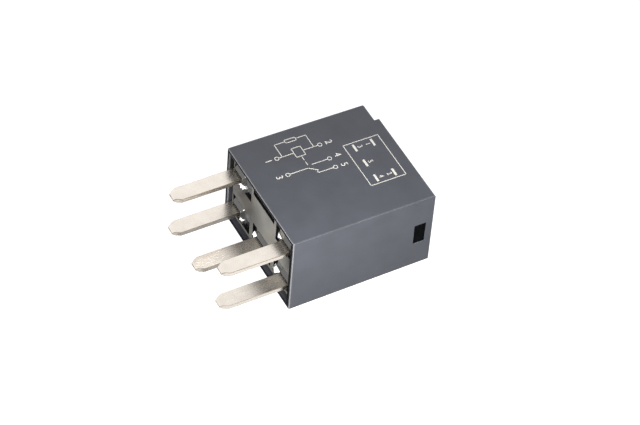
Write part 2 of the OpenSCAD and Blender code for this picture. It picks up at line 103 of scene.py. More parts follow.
def direction(azimuth, elevation):
    """The way to a place round the object: azimuth 0 is -Y, 90 is +X."""
    a, e = math.radians(azimuth), math.radians(elevation)
    return Vector((math.sin(a) * math.cos(e), -math.cos(a) * math.cos(e), math.sin(e)))


def linear(hex_colour):
    """An sRGB hex colour as linear red, green, blue and alpha."""
    channels = [int(hex_colour[i:i + 2], 16) / 255 for i in (1, 3, 5)]
    return [c / 12.92 if c <= 0.04045 else ((c + 0.055) / 1.055) ** 2.4 for c in channels] + [1]


def add(tree, kind, settings=None, links=None, **attributes):
    """Adds a node with its attributes, socket values and incoming links."""
    made = tree.nodes.new(kind)
    for name, value in attributes.items():
        setattr(made, name, value)
    for socket, value in (settings or {}).items():
        made.inputs[socket].default_value = value
    for socket, source in (links or {}).items():
        tree.links.new(source, made.inputs[socket])
    return made


def new_tree(owner):
    """An empty node tree on a material or a world."""
    owner.use_nodes = True
    owner.node_tree.nodes.clear()
    return owner.node_tree


def new_piece(name, bm):
    """Links the finished bmesh to the scene as an object at the origin."""
    mesh = bpy.data.meshes.new(name)
    bm.to_mesh(mesh)
    bm.free()
    piece = bpy.data.objects.new(name, mesh)
    scene.collection.objects.link(piece)
    return piece


def seen_directly(tree):
    """1 for what the camera sees, straight, mirrored or through glass, otherwise 0."""
    path = add(tree, "ShaderNodeLightPath")
    mirrored = add(tree, "ShaderNodeMath", operation="MAXIMUM",
                   links={0: path.outputs["Is Glossy Ray"],
                          1: path.outputs["Is Transmission Ray"]})
    seen = add(tree, "ShaderNodeMath", operation="MAXIMUM",
               links={0: path.outputs["Is Camera Ray"], 1: mirrored.outputs[0]})
    return seen.outputs[0]


camera = bpy.data.objects.new("camera", bpy.data.cameras.new("camera"))
scene.collection.objects.link(camera)
back = direction(CAMERA_AZIMUTH, CAMERA_ELEVATION)
camera.location = AIM + back * CAMERA_DISTANCE
camera.rotation_mode = "QUATERNION"
roll = Quaternion((0, 0, 1), math.radians(CAMERA_ROLL))
camera.rotation_quaternion = back.to_track_quat("Z", "Y") @ roll
camera.data.lens = LENS
camera.data.sensor_width = SENSOR
camera.data.clip_start = CLIP_START
scene.camera = camera

bm = bmesh.new()
bmesh.ops.create_grid(bm, x_segments=1, y_segments=1, size=PAPER_SIDE / 2,
                      matrix=Matrix.Translation((AIM.x, AIM.y, cad_low.z)))
paper = new_piece("paper", bm)
paper_finish = bpy.data.materials.new("white_paper")
tree = new_tree(paper_finish)
sheet = add(tree, "ShaderNodeBsdfDiffuse", {"Color": linear(PAPER_COLOUR)})
path = add(tree, "ShaderNodeLightPath")
in_metal = add(tree, "ShaderNodeMath", {1: PAPER_MIRRORED},
               {0: path.outputs["Is Glossy Ray"]}, operation="MULTIPLY")
glow = add(tree, "ShaderNodeMath", {1: PAPER_GLOW},
           {0: path.outputs["Is Camera Ray"], 2: in_metal.outputs[0]},
           operation="MULTIPLY_ADD")
lit = add(tree, "ShaderNodeEmission", links={"Strength": glow.outputs[0]})
both = add(tree, "ShaderNodeAddShader", links={0: sheet.outputs[0], 1: lit.outputs[0]})
add(tree, "ShaderNodeOutputMaterial", links={"Surface": both.outputs[0]})
paper.data.materials.append(paper_finish)

scene.world = bpy.data.worlds.new("light_tent")
tree = new_tree(scene.world)
tent_level = add(tree, "ShaderNodeMath", {1: TENT_SEEN - TENT_LEVEL, 2: TENT_LEVEL},
                 {0: seen_directly(tree)}, operation="MULTIPLY_ADD")
tent = add(tree, "ShaderNodeBackground", links={"Strength": tent_level.outputs[0]})
add(tree, "ShaderNodeOutputWorld", links={"Surface": tent.outputs[0]})


def soft_lamp(name, azimuth, elevation, distance, side, level, mirrored=True):
    """A square lamp. level is how bright it makes white paper that faces it. A lamp that
    isn't mirrored gives shade and form but no highlights."""
    lamp = bpy.data.objects.new(name, bpy.data.lights.new(name, "AREA"))
    scene.collection.objects.link(lamp)
    lamp.data.shape = "SQUARE"
    lamp.data.size = side
    lamp.data.energy = level * (math.pi * distance) ** 2
    lamp.location = AIM + direction(azimuth, elevation) * distance
    lamp.rotation_euler = direction(azimuth, elevation).to_track_quat("Z", "Y").to_euler()
    lamp.visible_glossy = mirrored


# One low lamp for the blades and the resin, one close one that fades towards the closed
# end, and a small one whose mirror image draws the edges
soft_lamp("blade_lamp", azimuth=-106, elevation=6, distance=0.6, side=0.22, level=0.45)
soft_lamp("near_lamp", azimuth=-18, elevation=37, distance=0.07, side=0.03, level=2.3,
          mirrored=False)
soft_lamp("edge_lamp", azimuth=27, elevation=35, distance=0.6, side=0.06, level=0.25)

# ---- Base ----
# The base: glass-filled PBT, injection moulded. Its outside shows five sunk pockets
# round the blades; rails, lugs and a guide on its inside hold the works.
BASE_COLOUR, BASE_DARK = "#929089", "#82807b"
BASE_EDGE, BASE_CORNER = 0.08 * MM, 0.3 * MM
# Walls of the pockets, slots and relief are painted near black as shade in these recesses, on a
# coarse, dull skin
RECESS_SHADE_COLOUR, RECESS_SHADE_DARK = "#1c1c1d", "#141415"
OUTER_FACE, INNER_FACE = 0.8 * MM, 3.6 * MM
# The base is painted darker in two mottled patches between the outer pockets. Each patch
# has its middle and its reach.
DARK_PATCH_COLOUR = "#454340"
DARK_PATCHES = ((Vector((0.8, 5.5, 0.2)) * MM, 6 * MM), (Vector((0.8, -10, 0.8)) * MM, 4.2 * MM))
# Places this close together are one place, faces this near to flat are one face, and an
# edge is rounded where its faces turn by more than the last angle
SAME_PLACE = 0.001 * MM
SAME_FACE, SHARP = math.radians(0.5), math.radians(30)


def rounded_copy(node, edge):
    """A merged copy of a CAD node, its sharp edges rounded, that stands for the node."""
    bm = bmesh.new()
    bm.from_mesh(frame["nodes"][node].data)
    bmesh.ops.remove_doubles(bm, verts=bm.verts, dist=SAME_PLACE)
    bmesh.ops.dissolve_limit(bm, angle_limit=SAME_FACE, verts=bm.verts, edges=bm.edges)
    for face in bm.faces:
        face.smooth = True
    piece = new_piece(node + "_finished", bm)
    rounding = piece.modifiers.new("rounded edges", "BEVEL")
    rounding.width = edge
    rounding.segments = 2
    rounding.limit_method = "ANGLE"
    rounding.angle_limit = SHARP
    piece.modifiers.new("merged points", "WELD").merge_threshold = SAME_PLACE
    flat = piece.modifiers.new("flat faces", "WEIGHTED_NORMAL")
    flat.weight = 100
    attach(piece, frame["nodes"][node]["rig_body"])
    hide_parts(node)
    return piece


def mottling(tree, size, detail=3, stretch=(1, 1, 1), seed=0):
    """Mottling with spots of a real size, drawn out by stretch along each axis."""
    place = add(tree, "ShaderNodeTexCoord")
    scale = [1 / (size * s) for s in stretch]
    mapped = add(tree, "ShaderNodeMapping", {"Scale": scale, "Location": [seed] * 3},
                 {"Vector": place.outputs["Object"]})
    return add(tree, "ShaderNodeTexNoise", {"Scale": 1, "Detail": detail},
               {"Vector": mapped.outputs[0]})


# Size of the clouds, depth of the grain and how far the gloss varies over it
CLOUD = 4 * MM
GRAIN_DEPTH, GLOSS_SPREAD = 0.02 * MM, 0.08


def moulded_plastic(name, colour, dark, roughness, grain, sheen=0.5):
    """Injection moulded plastic: a spark-eroded grain breaks the gloss into a satin,
    and flow of the melt leaves faint cloudy changes of shade."""
    material = bpy.data.materials.new(name)
    tree = new_tree(material)
    cloud = mottling(tree, CLOUD, detail=4)
    clouded = add(tree, "ShaderNodeMapRange", {"To Min": -0.6, "To Max": 1.6},
                  {"Value": cloud.outputs["Fac"]})
    shade = add(tree, "ShaderNodeMix", {6: linear(dark), 7: linear(colour)},
                {0: clouded.outputs[0]}, data_type="RGBA")
    fine = mottling(tree, grain, detail=2)
    bump = add(tree, "ShaderNodeBump", {"Strength": 0.35, "Distance": GRAIN_DEPTH},
               {"Height": fine.outputs["Fac"]})
    gloss = add(tree, "ShaderNodeMapRange",
                {"To Min": roughness - GLOSS_SPREAD, "To Max": roughness + GLOSS_SPREAD},
                {"Value": fine.outputs["Fac"]})
    shader = add(tree, "ShaderNodeBsdfPrincipled", {"Specular IOR Level": sheen},
                 {"Base Color": shade.outputs[2], "Roughness": gloss.outputs[0],
                  "Normal": bump.outputs[0]})
    add(tree, "ShaderNodeOutputMaterial", links={"Surface": shader.outputs[0]})
    return material


def tint(material, mask, colour):
    """Mixes a colour into a material's own, as far as the mask says."""
    tree = material.node_tree
    shader = next(n for n in tree.nodes if n.type == "BSDF_PRINCIPLED")
    own = shader.inputs["Base Color"].links[0].from_socket
    tone = add(tree, "ShaderNodeMix", {7: linear(colour)}, {0: mask, 6: own},
               data_type="RGBA")
    tree.links.new(tone.outputs[2], shader.inputs["Base Color"])


# The grain is drawn at 0.15 mm, a little coarser than the real one, so that it shows
grey = moulded_plastic("moulded_pbt_grey", BASE_COLOUR, BASE_DARK, roughness=0.42,
                       grain=0.15 * MM)
tree = grey.node_tree
place = add(tree, "ShaderNodeTexCoord")
patch_mottling = mottling(tree, 0.9 * MM)
patchy = add(tree, "ShaderNodeMapRange", {"To Min": 0.6, "To Max": 2},
             {"Value": patch_mottling.outputs["Fac"]})
# Each patch is painted darker over the base's own colour, fading out to its reach
for centre, reach in DARK_PATCHES:
    away = add(tree, "ShaderNodeVectorMath", {1: centre}, {0: place.outputs["Object"]},
               operation="DISTANCE")
    fade = add(tree, "ShaderNodeMapRange", {"From Min": reach, "From Max": 0},
               {"Value": away.outputs["Value"]})
    dark_patch_mask = add(tree, "ShaderNodeMath", links={0: fade.outputs[0], 1: patchy.outputs[0]},
               operation="MULTIPLY", use_clamp=True)
    tint(grey, dark_patch_mask.outputs[0], DARK_PATCH_COLOUR)
base = rounded_copy("base", BASE_EDGE)
base.data.materials.clear()
base.data.materials.append(grey)
# The base's second material is the near-black painted shade of its recesses
base.data.materials.append(
    moulded_plastic("coarse_grey_painted_recess_shade", RECESS_SHADE_COLOUR, RECESS_SHADE_DARK, roughness=0.8,
                    grain=0.25 * MM, sheen=0.05))
base_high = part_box("base")[1]
# Faces inside the recesses take the near-black painted shade
for face in base.data.polygons:
    x, y, z = face.center
    in_depth = OUTER_FACE + BASE_EDGE < x < INNER_FACE - BASE_EDGE
    off_sides = max(abs(y) - base_high.y, abs(z) - base_high.z) < -BASE_CORNER
    if in_depth and off_sides:
        face.material_index = 1

# ---- Terminals ----
# Five blades stamped from brass strip and tinned all over. The punch rounds their edges
# a little, and the tin is drawn out along the strip, as its highlights are.
TIN_COLOUR, TIN_DULL = "#f5ede3", "#e3dacf"
BLADE_EDGE = 0.07 * MM
# The column and the row of each blade, counted from the middle
BLADES = {"30": (1, -1), "85": (-1, 1), "86": (1, 1), "87": (-1, -1), "87a": (0, -1)}
tin = bpy.data.materials.new("tinned_brass")
tree = new_tree(tin)
# Its drawn lines are set 0.16 mm apart, coarser than the real ones, so that they show
drawn = mottling(tree, 0.16 * MM, detail=2, stretch=(30, 1, 1))
patch = mottling(tree, 1.6 * MM, detail=4, seed=4)
dulled = add(tree, "ShaderNodeMapRange", {"To Min": 0, "To Max": 1.4},
             {"Value": patch.outputs["Fac"]})
tone = add(tree, "ShaderNodeMix", {6: linear(TIN_DULL), 7: linear(TIN_COLOUR)},
           {0: dulled.outputs[0]}, data_type="RGBA")
gloss = add(tree, "ShaderNodeMapRange", {"To Min": 0.22, "To Max": 0.32},
            {"Value": drawn.outputs["Fac"]})
bump = add(tree, "ShaderNodeBump", {"Strength": 0.04, "Distance": 0.01 * MM},
           {"Height": drawn.outputs["Fac"]})
metal = add(tree, "ShaderNodeBsdfPrincipled", {"Metallic": 1},
            {"Base Color": tone.outputs[2], "Roughness": gloss.outputs[0],
             "Normal": bump.outputs[0]})
add(tree, "ShaderNodeOutputMaterial", links={"Surface": metal.outputs[0]})
# The tin is thin over the punched edges, where the brass shows through it
EDGE_COLOUR, EDGE_DARK = "#aa9a84", "#8d806f"


def bare_metal(name, colour, dull, polish, size, detail, stretch=(1, 1, 1)):
    """A metal whose shade and roughness follow one pattern of a real size. polish is its
    lowest and its highest roughness."""
    material = bpy.data.materials.new(name)
    tree = new_tree(material)
    pattern = mottling(tree, size, detail, stretch).outputs["Fac"]
    tone = add(tree, "ShaderNodeMix", {6: linear(dull), 7: linear(colour)}, {0: pattern},
               data_type="RGBA")
    gloss = add(tree, "ShaderNodeMapRange", {"To Min": polish[0], "To Max": polish[1]},
                {"Value": pattern})
    metal = add(tree, "ShaderNodeBsdfPrincipled", {"Metallic": 1},
                {"Base Color": tone.outputs[2], "Roughness": gloss.outputs[0]})
    add(tree, "ShaderNodeOutputMaterial", links={"Surface": metal.outputs[0]})
    return material


worn = bare_metal("tin_worn_to_brass", EDGE_COLOUR, EDGE_DARK, polish=(0.35, 0.5),
                  size=0.5 * MM, detail=4)
for mark in BLADES:
    terminal = rounded_copy("terminal_" + mark, BLADE_EDGE)
    terminal.data.materials.clear()
    terminal.data.materials.append(tin)
    terminal.data.materials.append(worn)
    terminal.modifiers["rounded edges"].material = 1

# ---- Sealing resin ----
# Epoxy poured into the pockets once the cover is on. It cures dark and glossy, and
# creeps up the blades before it sets; its creep up the pocket walls is left flat.
RESIN_COLOUR = "#1e1d1b"
RESIN_LEVEL = 1.2 * MM
RESIN_BACK = 1.7 * MM
# How far it creeps up a blade, and how near the blade that begins
CREEP, CREEP_REACH = 0.6 * MM, 0.7 * MM
# The last drop stands as a low ridge: its height, half its length, its long flank towards
# +Z, its short one and the lean of its crest. An even share of the crest's height is
# joined by a ragged one, with teeth of the last size.
DROP, DROP_HALF, DROP_FLANK, DROP_BACK = 0.7 * MM, 1 * MM, 1.05 * MM, 0.3 * MM
DROP_LEAN = math.radians(20)
EVEN, RAGGED, RAGGED_SIZE = 0.8, 0.5, 0.35 * MM
# Lumps of the surface between: their height and size
UNEVEN, UNEVEN_SIZE = 0.03 * MM, 0.7 * MM
POOL_CELL = 0.1 * MM
# Where the last drop fell in each pocket, in Y and Z, and how large it was
DROPS = {"30": ((7.4, -4.9), 1.0), "85": ((-5.1, 2.8), 0.6), "86": ((7.5, 2.6), 1.3),
         "87": ((-4.6, -4.9), 1.1), "87a": ((2.6, -4.5), 0.8)}
COLUMN, ROW = 8.4 * MM, 3.8 * MM
HALF_BLADE, HALF_STRIP = 1.4 * MM, 0.4 * MM
OUTER_POCKET = (4.2 * MM, 10.0 * MM)
MIDDLE_POCKET = (-3.1 * MM, 3.1 * MM)
POCKET_BELOW, POCKET_ABOVE = 2.2 * MM, 1.8 * MM


def resin_pool(bm, y_low, y_high, z_low, z_high, blade_y, blade_z, drop_y, drop_z, size):
    """A pool in one pocket: a fine grid, raised where the resin creeps up the blade and
    where the last drop fell."""
    columns = round((y_high - y_low) / POOL_CELL)
    rows = round((z_high - z_low) / POOL_CELL)
    stand = Matrix(((0, 0, 1, RESIN_LEVEL), (y_high - y_low, 0, 0, (y_low + y_high) / 2),
                    (0, z_high - z_low, 0, (z_low + z_high) / 2), (0, 0, 0, 1)))
    grid = bmesh.ops.create_grid(bm, x_segments=columns, y_segments=rows, size=0.5,
                                 matrix=stand)["verts"]
    for v in grid:
        past = Vector((max(abs(v.co.y - blade_y) - HALF_BLADE, 0),
                       max(abs(v.co.z - blade_z) - HALF_STRIP, 0)))
        slope = max(1 - past.length / CREEP_REACH, 0)
        along, up = v.co.y - drop_y, v.co.z - drop_z
        up = up * math.cos(DROP_LEAN) - along * math.sin(DROP_LEAN) + size * DROP_FLANK / 2
        crest = EVEN + RAGGED * noise.noise(Vector((along, drop_y, drop_z)) / RAGGED_SIZE)
        crest *= math.exp(-(along / size / DROP_HALF) ** 6)
        crest *= math.exp(-(min(up, 0) / DROP_BACK) ** 2)
        drop = size * max(min(crest, 1 - up / size / DROP_FLANK), 0)
        lump = noise.noise(v.co / UNEVEN_SIZE)
        v.co.x -= CREEP * slope ** 1.3 + DROP * drop + UNEVEN * lump
    faces = dict.fromkeys(f for v in grid for f in v.link_faces)
    inside = [f for f in faces
              if abs(f.calc_center_median().y - blade_y) < HALF_BLADE - POOL_CELL / 2
              and abs(f.calc_center_median().z - blade_z) < HALF_STRIP - POOL_CELL / 2]
    surface = [f for f in faces if f not in inside]
    bmesh.ops.delete(bm, geom=inside, context="FACES")
    floor = bmesh.ops.extrude_face_region(bm, geom=surface)["geom"]
    for v in floor:
        if isinstance(v, bmesh.types.BMVert):
            v.co.x = RESIN_BACK


bm = bmesh.new()
for mark, (side, level) in BLADES.items():
    z = level * ROW
    y_low, y_high = sorted(side * edge for edge in OUTER_POCKET) if side else MIDDLE_POCKET
    (drop_y, drop_z), size = DROPS[mark]
    resin_pool(bm, y_low, y_high, z - POCKET_BELOW, z + POCKET_ABOVE, side * COLUMN, z,
               drop_y * MM, drop_z * MM, size)
bmesh.ops.recalc_face_normals(bm, faces=bm.faces)
for face in bm.faces:
    face.smooth = True
seals = new_piece("terminal_seals_cured", bm)
epoxy = bpy.data.materials.new("potting_epoxy")
tree = new_tree(epoxy)
ripple = mottling(tree, 0.6 * MM, detail=2)
bump = add(tree, "ShaderNodeBump", {"Strength": 0.2, "Distance": 0.1 * MM},
           {"Height": ripple.outputs["Fac"]})
cured = add(tree, "ShaderNodeBsdfPrincipled",
            {"Base Color": linear(RESIN_COLOUR), "Roughness": 0.1, "IOR": 1.55,
             "Coat Weight": 1, "Coat Roughness": 0.06, "Coat IOR": 1.8},
            {"Normal": bump.outputs[0]})
add(tree, "ShaderNodeOutputMaterial", links={"Surface": cured.outputs[0]})
seals.data.materials.append(epoxy)
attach(seals, "relay_body")
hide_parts("terminal_seals")

# ---- Magnet iron ----
# Yoke, core, armature and their rivets: soft iron, stamped or turned, then zinc plated
# to a dull bluish white.
IRON_COLOUR, IRON_DULL = "#c3c6c9", "#a9adb1"
IRON_EDGE = 0.08 * MM
iron = bare_metal("zinc_plated_iron", IRON_COLOUR, IRON_DULL, polish=(0.3, 0.5),
                  size=0.8 * MM, detail=5)


def finish_node(node, material):
    """Gives a CAD node that stays in view its material."""
    piece = frame["nodes"][node]
    piece.data.materials.clear()
    piece.data.materials.append(material)


for node in ("yoke", "armature"):
    plate = rounded_copy(node, IRON_EDGE)
    plate.data.materials.clear()
    plate.data.materials.append(iron)
for node in ("core", "yoke_rivets", "armature_rivets"):
    finish_node(node, iron)

# ---- Coil ----
# A nylon bobbin pushed over the core, wound with fine enamelled copper wire. The turns
# show as ridges, and two leads run from the winding to the coil posts.
NYLON_COLOUR, NYLON_DARK = "#ece6d6", "#e0d8c4"
WIRE_COLOUR, WIRE_DARK = "#b4562c", "#8a3d1f"
finish_node("bobbin", moulded_plastic("moulded_nylon", NYLON_COLOUR, NYLON_DARK,
                                      roughness=0.5, grain=0.12 * MM))
wire = bpy.data.materials.new("enamelled_copper")
tree = new_tree(wire)
turn = mottling(tree, 0.1 * MM, detail=2, stretch=(1, 12, 12))
tone = add(tree, "ShaderNodeMix", {6: linear(WIRE_DARK), 7: linear(WIRE_COLOUR)},
           {0: turn.outputs["Fac"]}, data_type="RGBA")
enamel = add(tree, "ShaderNodeBsdfPrincipled",
             {"Metallic": 1, "Roughness": 0.3, "Coat Weight": 0.5, "Coat Roughness": 0.1},
             {"Base Color": tone.outputs[2]})
add(tree, "ShaderNodeOutputMaterial", links={"Surface": enamel.outputs[0]})
for node in ("coil_winding", "coil_start_lead", "coil_end_lead"):
    finish_node(node, wire)

# ---- Resistor ----
# The damping resistor across the coil: a ceramic rod with end caps, in a dipped and
# slightly uneven coat of lacquer, on two tinned leads.
COAT_COLOUR, COAT_DARK = "#86abbb", "#6f95a8"
coat = bpy.data.materials.new("dipped_lacquer")
tree = new_tree(coat)
dip = mottling(tree, 0.7 * MM, detail=3)
tone = add(tree, "ShaderNodeMix", {6: linear(COAT_DARK), 7: linear(COAT_COLOUR)},
           {0: dip.outputs["Fac"]}, data_type="RGBA")
bump = add(tree, "ShaderNodeBump", {"Strength": 0.4, "Distance": 0.05 * MM},
           {"Height": dip.outputs["Fac"]})
lacquer = add(tree, "ShaderNodeBsdfPrincipled", {"Roughness": 0.25},
              {"Base Color": tone.outputs[2], "Normal": bump.outputs[0]})
add(tree, "ShaderNodeOutputMaterial", links={"Surface": lacquer.outputs[0]})
finish_node("resistor_body", coat)
finish_node("resistor_leads", tin)

# ---- Contacts ----
# Silver alloy rivets, headed cold: two are staked in blades' inner ends and one in the
# spring. They are bright, with a faint grey tarnish.
SILVER_COLOUR, SILVER_DULL = "#f0eeea", "#cfccc6"
silver = bare_metal("contact_silver", SILVER_COLOUR, SILVER_DULL, polish=(0.2, 0.4),
                    size=0.5 * MM, detail=5)
for node in ("fixed_contact_no", "fixed_contact_nc", "moving_contact"):
    finish_node(node, silver)

# ---- Moving spring ----
# A leaf of phosphor bronze, rolled to a fine grain along the arm, stamped and bent once
# over the yoke's edge. In the relay one leg stays on the yoke and the arm goes with the
# armature, so the bend takes up the swing; here the leaf is one still piece that does not bend.
BRONZE_COLOUR, BRONZE_DARK = "#d19a66", "#b57f50"
bm = bmesh.new()
bm.from_mesh(frame["nodes"]["moving_spring"].data)
bmesh.ops.remove_doubles(bm, verts=bm.verts, dist=SAME_PLACE)
spring = new_piece("moving_spring_finished", bm)
bronze = bare_metal("phosphor_bronze", BRONZE_COLOUR, BRONZE_DARK, polish=(0.22, 0.38),
                    size=0.1 * MM, detail=3, stretch=(1, 25, 1))
spring.data.materials.clear()
spring.data.materials.append(bronze)
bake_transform(spring)
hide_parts("moving_spring")

# ---- Cover ----
# The cover: PBT, injection moulded in one piece with drafted walls, a low shoulder
# beside the closed end and a blind pocket in each narrow wall for a pulling tool.
COVER_COLOUR, COVER_DARK = "#3e4047", "#37393f"
# Handling has rubbed the edges of the grained faces smooth. Their paler colour is a painted
# highlight, and the edge behind the rim is painted palest, as a painted highlight line
RUBBED_HIGHLIGHT_COLOUR, RUBBED_HIGHLIGHT_DARK = "#4c4e55", "#424449"
RIM_EDGE_HIGHLIGHT_COLOUR, RIM_HIGHLIGHT_REACH = "#6e6e6f", 0.2 * MM
# The pockets are painted near black as shade in their depths, on the coarse spark-eroded
# skin of their cores, and the rim's face is painted dark as shade on a coarse skin too
POCKET_SHADE_COLOUR, POCKET_SHADE_DARK = "#0c0d0f", "#08090a"
RIM_SHADE_COLOUR, RIM_SHADE_DARK = "#26272b", "#1c1d20"
EDGE_GLOSS = 0.22
# Places of these skins in the cover's list of materials, after the grained one
POCKET_SHADE, RUBBED_AND_HIGHLIGHT, RIM_SHADE = 1, 2, 3
WALL = 0.8 * MM
BROAD_LEAN = math.tan(math.radians(0.5))
NARROW_LEAN = math.tan(math.radians(0.34))
STEP_DROP, STEP_WIDTH = 0.85 * MM, 3.65 * MM
# Radii of the outer edges, of the two edges of the step and of the rim
OUTER_EDGE, STEP_EDGE, RIM_EDGE = 0.24 * MM, 0.2 * MM, 0.12 * MM
POCKET_LOW, POCKET_HIGH = Vector((21.8, 0, -2.4)) * MM, Vector((23.8, 0, 1.7)) * MM
POCKET_FLOOR, MOUTH_EDGE = 9.6 * MM, 0.08 * MM
# The skin behind a pocket, and the gap between that boss and the closed end
BOSS_SKIN, BOSS_GAP = 0.45 * MM, 0.1 * MM
cover_height, half_width, half_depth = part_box("cover")[1]
shoulder = half_width - cover_height * NARROW_LEAN - STEP_WIDTH

bm = bmesh.new()
rounding = bm.edges.layers.float.new("bevel_weight_edge")


def round_edges(edges, radius):
    """Marks edges for the bevel that finishes the cover. OUTER_EDGE is the widest."""
    for edge in edges:
        edge[rounding] = radius / OUTER_EDGE


def cover_form(skin, radius):
    """The cover's outside, or with a skin its inside, with its edges rounded. Returns the
    face at the rim and the two narrow walls."""
    top, low = cover_height - skin, cover_height - skin - STEP_DROP
    step = shoulder - skin

    def side(x):
        return half_width - skin - x * NARROW_LEAN

    corners = [(0, -side(0)), (0, side(0)), (low, side(low)), (low, step), (top, step),
               (top, -side(top))]
    outline = bm.faces.new([bm.verts.new((x, y, skin - half_depth)) for x, y in corners])
    raised = bmesh.ops.extrude_face_region(bm, geom=[outline])["geom"]
    upper = [v for v in raised if isinstance(v, bmesh.types.BMVert)]
    bmesh.ops.translate(bm, verts=upper, vec=(0, 0, 2 * (half_depth - skin)))
    verts = outline.verts[:] + upper
    for v in verts:
        v.co.z -= math.copysign(v.co.x * BROAD_LEAN, v.co.z)
    faces = {f for v in verts for f in v.link_faces}
    form_edges = {e for v in verts for e in v.link_edges}
    mouth = next(f for f in faces if all(v.co.x == 0 for v in f.verts))
    round_edges(form_edges, radius)
    for x in (low, top):
        round_edges([e for e in form_edges
                     if all(abs(v.co.x - x) + abs(v.co.y - step) < SAME_PLACE
                            for v in e.verts)], min(STEP_EDGE, radius))
    walls = [next(f for f in faces
                  if all(abs(abs(v.co.y) - side(v.co.x)) < SAME_PLACE and v.co.y * way > 0
                         for v in f.verts)) for way in (-1, 1)]
    return mouth, walls


def sink(face, way, low, high, skin, floor, radius):
    """Sinks a rectangle of a narrow wall to |y| = floor and rounds its mouth. The inset
    makes the rectangle, which then moves to its place. Returns the sunk faces."""
    bmesh.ops.inset_individual(bm, faces=[face], thickness=WALL / 8)
    centre = face.calc_center_median()
    for v in face.verts:
        v.co.x = high.x if v.co.x > centre.x else low.x
        v.co.z = high.z if v.co.z > centre.z else low.z
        v.co.y = way * (half_width - skin - v.co.x * NARROW_LEAN)
    round_edges(face.edges, radius)
    sunk = bmesh.ops.extrude_discrete_faces(bm, faces=[face])["faces"][0]
    round_edges(sunk.edges, 0)
    for v in sunk.verts:
        v.co.y = way * floor
    return {f for v in sunk.verts for f in v.link_faces}


outer_mouth, outer_walls = cover_form(0, OUTER_EDGE)
bmesh.ops.inset_region(bm, faces=[outer_mouth], thickness=WALL, use_even_offset=True)
inner_mouth, inner_walls = cover_form(WALL, 0)
boss_low = POCKET_LOW - Vector((1, 0, 1)) * BOSS_SKIN
for way, outer, inner in zip((-1, 1), outer_walls, inner_walls):
    boss_top = cover_height - WALL - BOSS_GAP - (STEP_DROP if way > 0 else 0)
    boss_high = Vector((boss_top, 0, POCKET_HIGH.z + BOSS_SKIN))
    # The sunk faces of each outer pocket take the near-black painted shade
    for face in sink(outer, way, POCKET_LOW, POCKET_HIGH, 0, POCKET_FLOOR, MOUTH_EDGE):
        face.material_index = POCKET_SHADE
    sink(inner, way, boss_low, boss_high, WALL, POCKET_FLOOR - BOSS_SKIN, 0)
bmesh.ops.delete(bm, geom=[outer_mouth, inner_mouth], context="FACES_ONLY")
bmesh.ops.remove_doubles(bm, verts=bm.verts, dist=SAME_PLACE)
round_edges([e for e in bm.edges
             if all(v.co.x == 0 and abs(max(abs(v.co.y) - half_width,
                                            abs(v.co.z) - half_depth)) < SAME_PLACE
                    for v in e.verts)], RIM_EDGE)
# The rim's face takes the dark painted shade
for face in bm.faces:
    if all(v.co.x == 0 for v in face.verts):
        face.material_index = RIM_SHADE
bmesh.ops.recalc_face_normals(bm, faces=bm.faces)
for face in bm.faces:
    face.smooth = True
cover = new_piece("cover_finished", bm)
edges = cover.modifiers.new("rounded edges", "BEVEL")
edges.width = OUTER_EDGE
edges.segments = 4
edges.material = RUBBED_AND_HIGHLIGHT
edges.limit_method = "WEIGHT"
flat = cover.modifiers.new("flat faces", "WEIGHTED_NORMAL")
flat.weight = 100
grained = moulded_plastic("moulded_pbt_blue_grey", COVER_COLOUR, COVER_DARK,
                          roughness=0.4, grain=0.15 * MM)
# Near-black painted shade for the pockets, on a coarse dull skin
eroded = moulded_plastic("coarse_pbt_painted_pocket_shade", POCKET_SHADE_COLOUR, POCKET_SHADE_DARK, roughness=0.8,
                         grain=0.25 * MM, sheen=0.05)
# Smoother edges, painted paler as a painted highlight
rubbed_and_highlight = moulded_plastic("rubbed_pbt_edges_painted_highlight", RUBBED_HIGHLIGHT_COLOUR, RUBBED_HIGHLIGHT_DARK,
                         roughness=EDGE_GLOSS, grain=0.15 * MM)
tree = rubbed_and_highlight.node_tree
# The band next to the rim is painted paler still, as a painted highlight line along that edge
place = add(tree, "ShaderNodeTexCoord")
apart = add(tree, "ShaderNodeSeparateXYZ", links={0: place.outputs["Object"]})
rim_highlight_mask = add(tree, "ShaderNodeMath", {1: RIM_HIGHLIGHT_REACH}, {0: apart.outputs["X"]},
             operation="LESS_THAN")
tint(rubbed_and_highlight, rim_highlight_mask.outputs[0], RIM_EDGE_HIGHLIGHT_COLOUR)
# Dark painted shade for the rim's face, on a coarse dull skin
rim = moulded_plastic("coarse_rim_pbt_painted_shade", RIM_SHADE_COLOUR, RIM_SHADE_DARK, roughness=0.8,
                      grain=0.25 * MM, sheen=0.05)
for skin in (grained, eroded, rubbed_and_highlight, rim):
    cover.data.materials.append(skin)
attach(cover, "relay_body")
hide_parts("cover")

# ---- Print ----
# A wiring diagram with plain pin numbers and a plan of the blades, pad printed on the
# broad face in one silver-grey ink, which lies two hundredths of a millimetre proud.
INK_COLOUR, INK_THIN = "#d2cfc8", "#b8b5af"
INK_LIFT, INK_THICK = 0.004 * MM, 0.016 * MM
LINE = 0.12 * MM
RING = 0.34 * MM
DIGIT, PLAN_DIGIT = 1.2 * MM, 0.85 * MM
# The font's size is this many times the height of its digits
FONT_SIZE = 1.36


def ink_line(bm, start, end, width=LINE):
    """A straight stroke between two points of the broad face, in millimetres."""
    a, b = Vector(start) * MM, Vector(end) * MM
    run = b - a
    turn = Matrix.Rotation(math.atan2(run.y, run.x), 4, "Z")
    size = Matrix.Diagonal((run.length + width, width, INK_THICK, 1))
    middle = (a + b) / 2
    bmesh.ops.create_cube(bm, size=1, matrix=Matrix.Translation((*middle, INK_THICK / 2))
                          @ turn @ size)


